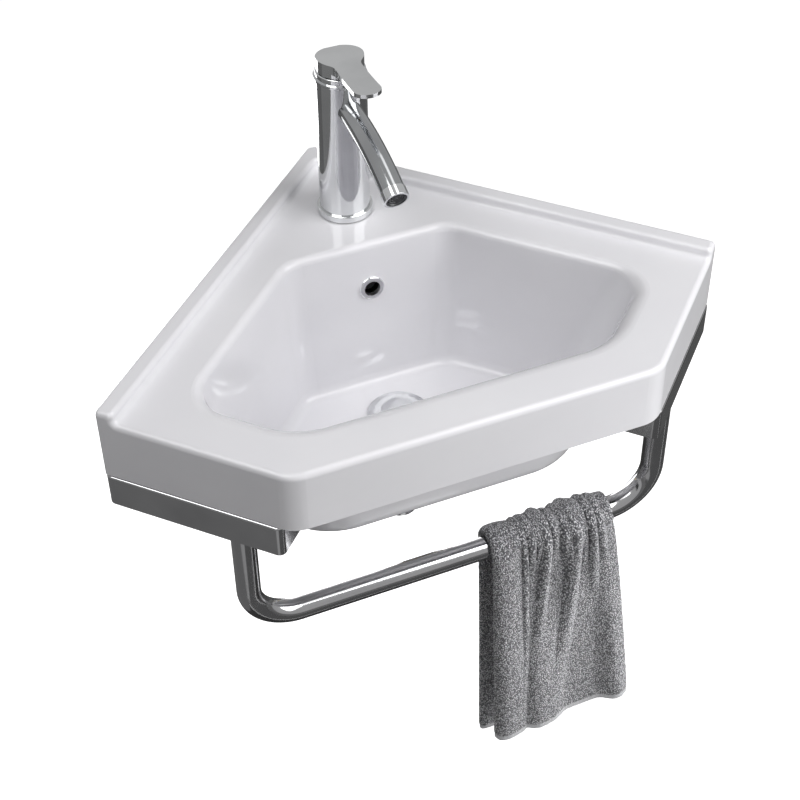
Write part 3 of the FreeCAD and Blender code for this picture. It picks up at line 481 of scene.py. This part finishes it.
@dataclass
class Hardware:
    """Tap, waste, brackets, rail and fixings that keep their CAD shape."""

    chrome: Metal = Metal("chrome", (0.70, 0.71, 0.72), (0.80, 0.81, 0.82), 0.06, 0.10, rub_depth=0.000004)
    # Paler than the other chrome as a painted highlight, with painted shade in the overflow's throat.
    ring: Metal = Metal("chrome_ring", (0.90, 0.90, 0.91), (0.95, 0.95, 0.96), 0.06, 0.10,
                        rub_depth=0.000004, throat_shade_reach=0.0095)
    # Darker than the other chrome: a painted dark reflection of the studio.
    spout: Metal = Metal("chrome_spout", (0.42, 0.43, 0.44), (0.50, 0.51, 0.52), 0.12, 0.16,
                         rub_depth=0.000004)
    polished: Metal = Metal("polished_steel", (0.48, 0.48, 0.49), (0.56, 0.56, 0.57), 0.09, 0.15)
    plated: Metal = Metal("plated_steel", (0.46, 0.46, 0.44), (0.60, 0.60, 0.57), 0.25, 0.4)
    brass: Metal = Metal("brass", (0.58, 0.42, 0.18), (0.72, 0.55, 0.28), 0.22, 0.38)
    rubber: Moulding = Moulding("rubber", (0.018, 0.018, 0.018), (0.035, 0.035, 0.035), 0.62)
    pale: Moulding = Moulding("pale_plastic", (0.66, 0.66, 0.62), (0.74, 0.74, 0.70), 0.4)
    dark: Moulding = Moulding("dark_plastic", (0.03, 0.03, 0.033), (0.05, 0.05, 0.055), 0.38)

    def build(self) -> None:
        """Dress every node by its slot in the record, and two chrome pieces in tones that paint light: a
        paler overflow ring as a painted highlight and a darker spout as a painted dark reflection.
        """
        finishes = {finish.name: finish.build() for finish in (
            self.chrome, self.polished, self.plated, self.brass, self.rubber, self.pale, self.dark)}
        for part in frame["record"]["subparts"]:
            if part["material_slot"] in finishes:
                dress(part["node"], finishes[part["material_slot"]])
        dress("overflow_ring", self.ring.build())
        dress("spout", self.spout.build())


def ease(share: float) -> float:
    """Ease a share in and out, with no slope at 0 and at 1."""
    return share * share * (3 - 2 * share)


@dataclass(frozen=True)
class Fold:
    """One fold of the cloth: where its crest runs and how deep it is.

    Places are shares of the cloth's width from the left, depths are in metres, and end is the
    share of the drop at which the fold has reached its lower place and depth.
    """

    top: float
    foot: float
    half: float
    depth_top: float
    depth_foot: float
    end: float
    crest: Crest = Crest.SHARP
    sharp_power: float = 0.9

    def depth(self, across: float, down: float) -> float:
        """Give the fold's depth at a point.

        Args:
            across: Share of the width from the left.
            down: Share of the drop from the bar.

        Returns:
            Depth in metres.
        """
        share = min(down / self.end, 1.0)
        off = abs(across - self.top - (self.foot - self.top) * share) / self.half
        if off >= 1:
            return 0.0
        depth = self.depth_top + (self.depth_foot - self.depth_top) * ease(share)
        if self.crest is Crest.SOFT:
            return depth * ((1 + math.cos(math.pi * off)) / 2)
        return depth * (1 - off * off) ** self.sharp_power


@dataclass
class Towel:
    """Guest towel, folded once along its length and hung over the rail's bar."""

    name: str = "hung_towel"
    body: str = "towel"
    cut: Size = (0.30, 0.60)
    bar: tuple[float, float] = (-0.34576, -0.197)
    bar_radius: float = 0.010
    clear: float = 0.0005
    layer: float = 0.0026
    bar_edges: tuple[float, float] = (0.0272, 0.1412)
    foot_edges: tuple[float, float] = (0.0360, 0.1760)
    spread_power: float = 0.85
    front_drop: float = 0.257
    back_drop: float = 0.285
    crown_press: float = 0.72
    edge_roll: float = 0.0055
    outer_layers: float = 1.08
    inner_fold_share: float = 0.3
    edge_hold_share: float = 0.6
    edge_width_share: float = 0.3
    sway: float = 0.0012
    sway_waves: Size = (3, 2)
    sway_seed: float = 4.0
    band_share: float = 0.55
    nap_scale: float = 0.0024
    nap_height: float = 0.0009
    columns: int = 150
    outer_columns: int = 105
    rows: int = 300
    finish: Terry = Terry()
    front_folds: tuple[Fold, ...] = (
        Fold(0.095, 0.085, 0.135, 0.0045, 0.0105, 1.0),
        Fold(0.36, 0.34, 0.24, 0.0004, 0.0095, 0.9, Crest.SOFT),
        Fold(0.92, 0.92, 0.15, 0.0020, 0.0085, 1.0, Crest.SOFT),
        Fold(0.250, 0.205, 0.022, 0.0042, 0.0006, 1.0),
        Fold(0.310, 0.270, 0.034, 0.0050, 0.0, 0.22),
        Fold(0.370, 0.320, 0.026, 0.0042, 0.0, 0.17),
        Fold(0.430, 0.290, 0.046, 0.0080, 0.0006, 0.60),
        Fold(0.505, 0.470, 0.030, 0.0040, 0.0, 0.13),
        Fold(0.595, 0.575, 0.034, 0.0060, 0.0, 0.25),
        Fold(0.675, 0.455, 0.062, 0.0092, 0.0010, 0.90),
        Fold(0.745, 0.730, 0.030, 0.0050, 0.0, 0.24),
        Fold(0.815, 0.790, 0.036, 0.0070, 0.0, 0.42),
        Fold(0.885, 0.900, 0.028, 0.0036, 0.0, 0.22),
    )
    back_folds: tuple[Fold, ...] = (
        Fold(0.095, 0.070, 0.130, 0.0045, 0.0070, 1.0),
        Fold(0.46, 0.40, 0.20, 0.0010, 0.0070, 0.8, Crest.SOFT),
        Fold(0.84, 0.88, 0.17, 0.0010, 0.0080, 0.9, Crest.SOFT),
        Fold(0.250, 0.230, 0.026, 0.0030, 0.0, 0.30),
        Fold(0.330, 0.300, 0.036, 0.0038, 0.0, 0.35),
        Fold(0.430, 0.380, 0.050, 0.0050, 0.0006, 0.60),
        Fold(0.505, 0.500, 0.030, 0.0028, 0.0, 0.16),
        Fold(0.595, 0.600, 0.034, 0.0044, 0.0, 0.28),
        Fold(0.675, 0.640, 0.060, 0.0056, 0.0008, 0.70),
        Fold(0.745, 0.760, 0.030, 0.0036, 0.0, 0.20),
        Fold(0.815, 0.850, 0.036, 0.0050, 0.0, 0.45),
        Fold(0.885, 0.920, 0.028, 0.0026, 0.0, 0.25),
    )

    def build(self) -> None:
        towel = self.lay_sheet()
        self.hang(towel)
        self.thicken(towel)
        towel.data.materials.append(self.finish.build(self.cut[1]))
        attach(towel, self.body)
        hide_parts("towel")
        log.info("hung %s", towel.name)

    def lay_sheet(self) -> bpy.types.Object:
        """Lay the flat sheet as a fine grid of size 1.

        Returns:
            The sheet.
        """
        bpy.ops.object.select_all(action="DESELECT")
        bpy.ops.mesh.primitive_grid_add(x_subdivisions=self.columns, y_subdivisions=self.rows, size=1)
        sheet = bpy.context.object
        sheet.name = self.name
        sheet.data.name = self.name
        return sheet

    def fold_over(self, share: float) -> tuple[float, Layer]:
        """Turn a grid column into a place on the folded cloth.

        Args:
            share: Share of the grid's columns, 0 to 1.

        Returns:
            Distance from the fold line in metres, and the layer.
        """
        turn = self.outer_columns / self.columns
        half = self.cut[0] / 2
        if share <= turn:
            return half * (1 - share / turn), Layer.OUTER
        return half * (share - turn) / (1 - turn), Layer.INNER

    def hang(self, sheet: bpy.types.Object) -> None:
        """Move the sheet's points to where the cloth hangs, and lay its UV map in metres.

        Args:
            sheet: The flat sheet.
        """
        flat = {}
        for vertex in sheet.data.vertices:
            away, layer = self.fold_over(vertex.co.x + GRID_HALF)
            along = (vertex.co.y + GRID_HALF) * self.cut[1]
            flat[vertex.index] = (layer.value * away, along)
            vertex.co = self.place(away, layer, along)
        uv_map = sheet.data.uv_layers[0].data
        for loop in sheet.data.loops:
            uv_map[loop.index].uv = flat[loop.vertex_index]

    def find_panel(self, along: float) -> tuple[float, float, float, tuple[Fold, ...]]:
        """Tell where a point lies between the front foot, the bar and the back foot.

        Args:
            along: Distance from the front foot along the cloth.

        Returns:
            Drop of its panel, share of that drop, angle round the bar from the front, and folds.
        """
        past_front = along - self.front_drop
        round_bar = self.cut[1] - self.front_drop - self.back_drop
        if past_front < 0:
            return self.front_drop, 1 - along / self.front_drop, 0.0, self.front_folds
        if past_front > round_bar:
            return self.back_drop, (past_front - round_bar) / self.back_drop, math.pi, self.back_folds
        return 0.0, 0.0, math.pi * past_front / round_bar, self.front_folds

    def roll_edge(self, away: float) -> tuple[float, float]:
        """Roll the cloth round its fold line, which is its left edge.

        Args:
            away: Distance from the fold line across the cloth.

        Returns:
            Share of the folded width from the left, and share of the layers' full distance.
        """
        quarter = self.edge_roll * math.pi / 2
        if away < quarter:
            angle = away / self.edge_roll
            reach, lift = self.edge_roll * (1 - math.cos(angle)), math.sin(angle)
        else:
            reach, lift = self.edge_roll + away - quarter, 1.0
        return reach / (self.edge_roll + self.cut[0] / 2 - quarter), lift

    def place(self, away: float, layer: Layer, along: float) -> Vector:
        """Give the place of one point of the cloth's middle surface.

        Args:
            away: Distance from the fold line across the cloth.
            layer: Layer of the folded cloth.
            along: Distance from the front foot along the cloth.

        Returns:
            The point.
        """
        drop, down, angle, folds = self.find_panel(along)
        across, lift = self.roll_edge(away)
        press = 1 - self.crown_press * math.sin(angle)
        fold = press * sum(each.depth(across, down) for each in folds)
        outer = self.layer * self.outer_layers + fold
        hold = self.edge_hold_share * max(0.0, 1 - across / self.edge_width_share)
        inner = self.inner_fold_share * fold * (1 - hold)
        depth = (outer + inner) / 2 + layer.value * (outer - inner) / 2 * lift
        radius = self.bar_radius + self.clear + self.layer / 2 + depth
        if layer is Layer.OUTER:
            waves = Vector((across * self.sway_waves[0], down * self.sway_waves[1] + angle, self.sway_seed))
            radius += self.sway * noise.noise(waves) * down
        spread = down ** self.spread_power
        left, right = (top + (foot - top) * spread for top, foot in zip(self.bar_edges, self.foot_edges))
        bar_y, bar_z = self.bar
        return Vector((left + (right - left) * across, bar_y - radius * math.cos(angle),
                       bar_z + radius * math.sin(angle) - down * drop))

    def thicken(self, sheet: bpy.types.Object) -> None:
        """Give the cloth its thickness, thin woven ends and a looped surface.

        Args:
            sheet: The hung sheet.
        """
        pile = sheet.vertex_groups.new(name="pile")
        uv_map = sheet.data.uv_layers[0].data
        places = {loop.vertex_index: uv_map[loop.index].uv.y for loop in sheet.data.loops}
        for index, along in places.items():
            from_end = min(along, self.cut[1] - along)
            share = self.band_share if from_end < self.finish.band_width else 1.0
            pile.add([index], share, "REPLACE")
        bpy.ops.object.select_all(action="DESELECT")
        bpy.context.view_layer.objects.active = sheet
        sheet.select_set(True)
        wall = sheet.modifiers.new("wall", "SOLIDIFY")
        wall.thickness = self.layer
        wall.offset = 0.0
        wall.use_even_offset = False
        wall.vertex_group = pile.name
        bpy.ops.object.modifier_apply(modifier=wall.name)
        loops = bpy.data.textures.new("loops", "CLOUDS")
        loops.noise_scale = self.nap_scale
        nap = sheet.modifiers.new("nap", "DISPLACE")
        nap.texture = loops
        nap.texture_coords = "LOCAL"
        nap.strength = self.nap_height
        bpy.ops.object.modifier_apply(modifier=nap.name)
        bpy.ops.object.shade_smooth()


@dataclass(frozen=True)
class Floor:
    """Pale floor that looks white to the eye and still takes shadows."""

    name: str = "studio_floor"
    level: float = -0.85
    reach: float = 12.0
    low: Colour = (0.78, 0.78, 0.78)
    high: Colour = (0.82, 0.82, 0.82)
    tone_scale: float = 2.0
    rough: float = 0.9
    glows: tuple[tuple[str, float], ...] = (
        ("Is Camera Ray", 0.9), ("Is Glossy Ray", 0.1), ("Is Transmission Ray", 0.9))

    def lay(self) -> None:
        """Lay the floor, with a glow for each kind of ray."""
        bpy.ops.object.select_all(action="DESELECT")
        bpy.ops.mesh.primitive_plane_add(size=2 * self.reach, location=(0, 0, self.level))
        floor = bpy.context.object
        floor.name = self.name
        wiring = Wiring(self.name)
        path = wiring.add("ShaderNodeLightPath")
        glow = 0.0
        for ray, level in self.glows:
            glow = wiring.reckon("MULTIPLY_ADD", path.outputs[ray], level, glow)
        wiring.surface(
            Base_Color=wiring.ramp(wiring.noise(self.tone_scale), self.low, self.high),
            Roughness=self.rough, Emission_Color=WHITE, Emission_Strength=glow)
        floor.data.materials.append(wiring.material)


@dataclass(frozen=True)
class Card:
    """Level card outside the picture that only polished surfaces mirror."""

    name: str
    place: Point
    size: Size
    glow: float

    def set_up(self) -> None:
        """Set the card in its place, hidden from the eye and from diffuse light."""
        label = "studio_flag_" + self.name
        wiring = Wiring(label)
        wiring.surface(Base_Color=BLACK, Specular_IOR_Level=0.0, Emission_Color=WHITE,
                       Emission_Strength=self.glow)
        bpy.ops.object.select_all(action="DESELECT")
        bpy.ops.mesh.primitive_plane_add(size=1, location=self.place)
        card = bpy.context.object
        card.name = label
        card.scale = (*self.size, 1)
        card.visible_camera = False
        card.visible_shadow = False
        card.visible_diffuse = False
        card.data.materials.append(wiring.material)


@dataclass(frozen=True)
class Lamp:
    """Soft rectangular lamp, with its power in watts and its spread in degrees."""

    name: str
    place: Point
    size: Size
    power: float
    target: Point = (0, -0.25, -0.05)
    spread: float = 180.0
    mirrored: bool = True

    def hang(self) -> None:
        """Hang the lamp, facing its target."""
        data = bpy.data.lights.new(self.name, "AREA")
        data.shape = "RECTANGLE"
        data.size, data.size_y = self.size
        data.energy = self.power
        data.spread = math.radians(self.spread)
        lamp = bpy.data.objects.new(self.name, data)
        lamp.location = self.place
        aim = Vector(self.target) - Vector(self.place)
        lamp.rotation_euler = aim.to_track_quat("-Z", "Y").to_euler()
        lamp.visible_glossy = self.mirrored
        bpy.context.scene.collection.objects.link(lamp)


@dataclass(frozen=True)
class Camera:
    """Camera at the photograph's angle, with its angles in degrees and its lens in millimetres."""

    eye: Point = (-0.3880, -1.1882, 0.8638)
    azimuth: float = -22.869
    elevation: float = 40.603
    lens: float = 73.330
    sensor_width: float = 36.0
    shift: tuple[float, float] = (-0.0281, -0.1000)
    near: float = 0.01
    far: float = 100.0

    def set_up(self) -> None:
        """Put the camera in its place and look through it."""
        data = bpy.data.cameras.new("camera")
        data.sensor_width = self.sensor_width
        data.lens = self.lens
        data.shift_x, data.shift_y = self.shift
        data.clip_start, data.clip_end = self.near, self.far
        camera = bpy.data.objects.new("camera", data)
        camera.location = self.eye
        camera.rotation_euler = (math.radians(90 - self.elevation), 0, math.radians(self.azimuth))
        bpy.context.scene.collection.objects.link(camera)
        bpy.context.scene.camera = camera


@dataclass
class Studio:
    """Floor, cards, lamps, surrounding light and camera."""

    floor: Floor = Floor()
    camera: Camera = Camera()
    mirror_glow: float = 0.5
    fill_glow: float = 0.047
    cards: tuple[Card, ...] = (
        Card("left", (-1.15, -0.15, -0.8), (1.5, 1.3), 0.18),
        Card("near_left", (-0.75, -1.15, -0.78), (0.9, 0.7), 0.38),
        Card("low_left", (-2.8, -1.0, 0.5), (2.4, 3.0), 0.05),
        Card("right", (1.2, -0.1, -0.8), (1.5, 1.2), 0.10),
        Card("front", (0.1, -1.5, -0.8), (3.0, 1.5), 0.12),
        Card("under", (0.025, -0.1, -0.8), (0.85, 1.2), 0.05),
        Card("behind", (0.2, 1.45, -0.8), (3.6, 1.9), 0.12),
        Card("overhead", (0.41, -0.45, 1.6), (0.5, 1.8), 1.8),
    )
    lamps: tuple[Lamp, ...] = (
        Lamp("key", (0.85, -0.95, 0.92), (1.2, 1.2), 17.2),
        Lamp("side", (0.52, -0.98, 0.0), (0.4, 0.4), 2.3, mirrored=False),
        Lamp("left", (-0.75, -0.55, 1.20), (1.0, 1.0), 9.8),
        Lamp("back", (-0.10, 1.10, -0.35), (1.2, 0.8), 9.0),
        Lamp("rake", (0.80, -0.55, -0.42), (0.25, 0.25), 0.35, (0.10, -0.36, -0.33), 46.0, mirrored=False),
    )

    def build(self) -> None:
        """Set up the whole studio."""
        self.floor.lay()
        for card in self.cards:
            card.set_up()
        self.light_world()
        for lamp in self.lamps:
            lamp.hang()
        self.camera.set_up()
        bpy.context.scene.view_settings.view_transform = "Standard"

    def light_world(self) -> None:
        """Surround the scene with a weak grey light, white to the eye and paler in the metal."""
        world = bpy.data.worlds.new("studio")
        bpy.context.scene.world = world
        world.use_nodes = True
        graph = Graph(world.node_tree)
        path = graph.add("ShaderNodeLightPath")
        mirrored = graph.reckon("MULTIPLY", path.outputs["Is Glossy Ray"], self.mirror_glow)
        seen = graph.reckon("MAXIMUM", path.outputs["Is Camera Ray"], mirrored)
        strength = graph.reckon("MAXIMUM", seen, self.fill_glow)
        graph.fill(world.node_tree.nodes["Background"], {"Color": WHITE, "Strength": strength})


def main() -> None:
    """Build and dress the whole part."""
    logging.basicConfig(level=logging.INFO, format="%(message)s")
    Studio().build()
    BasinCasting().build()
    Hardware().build()
    Towel().build()


if __name__ == "__main__":
    main()
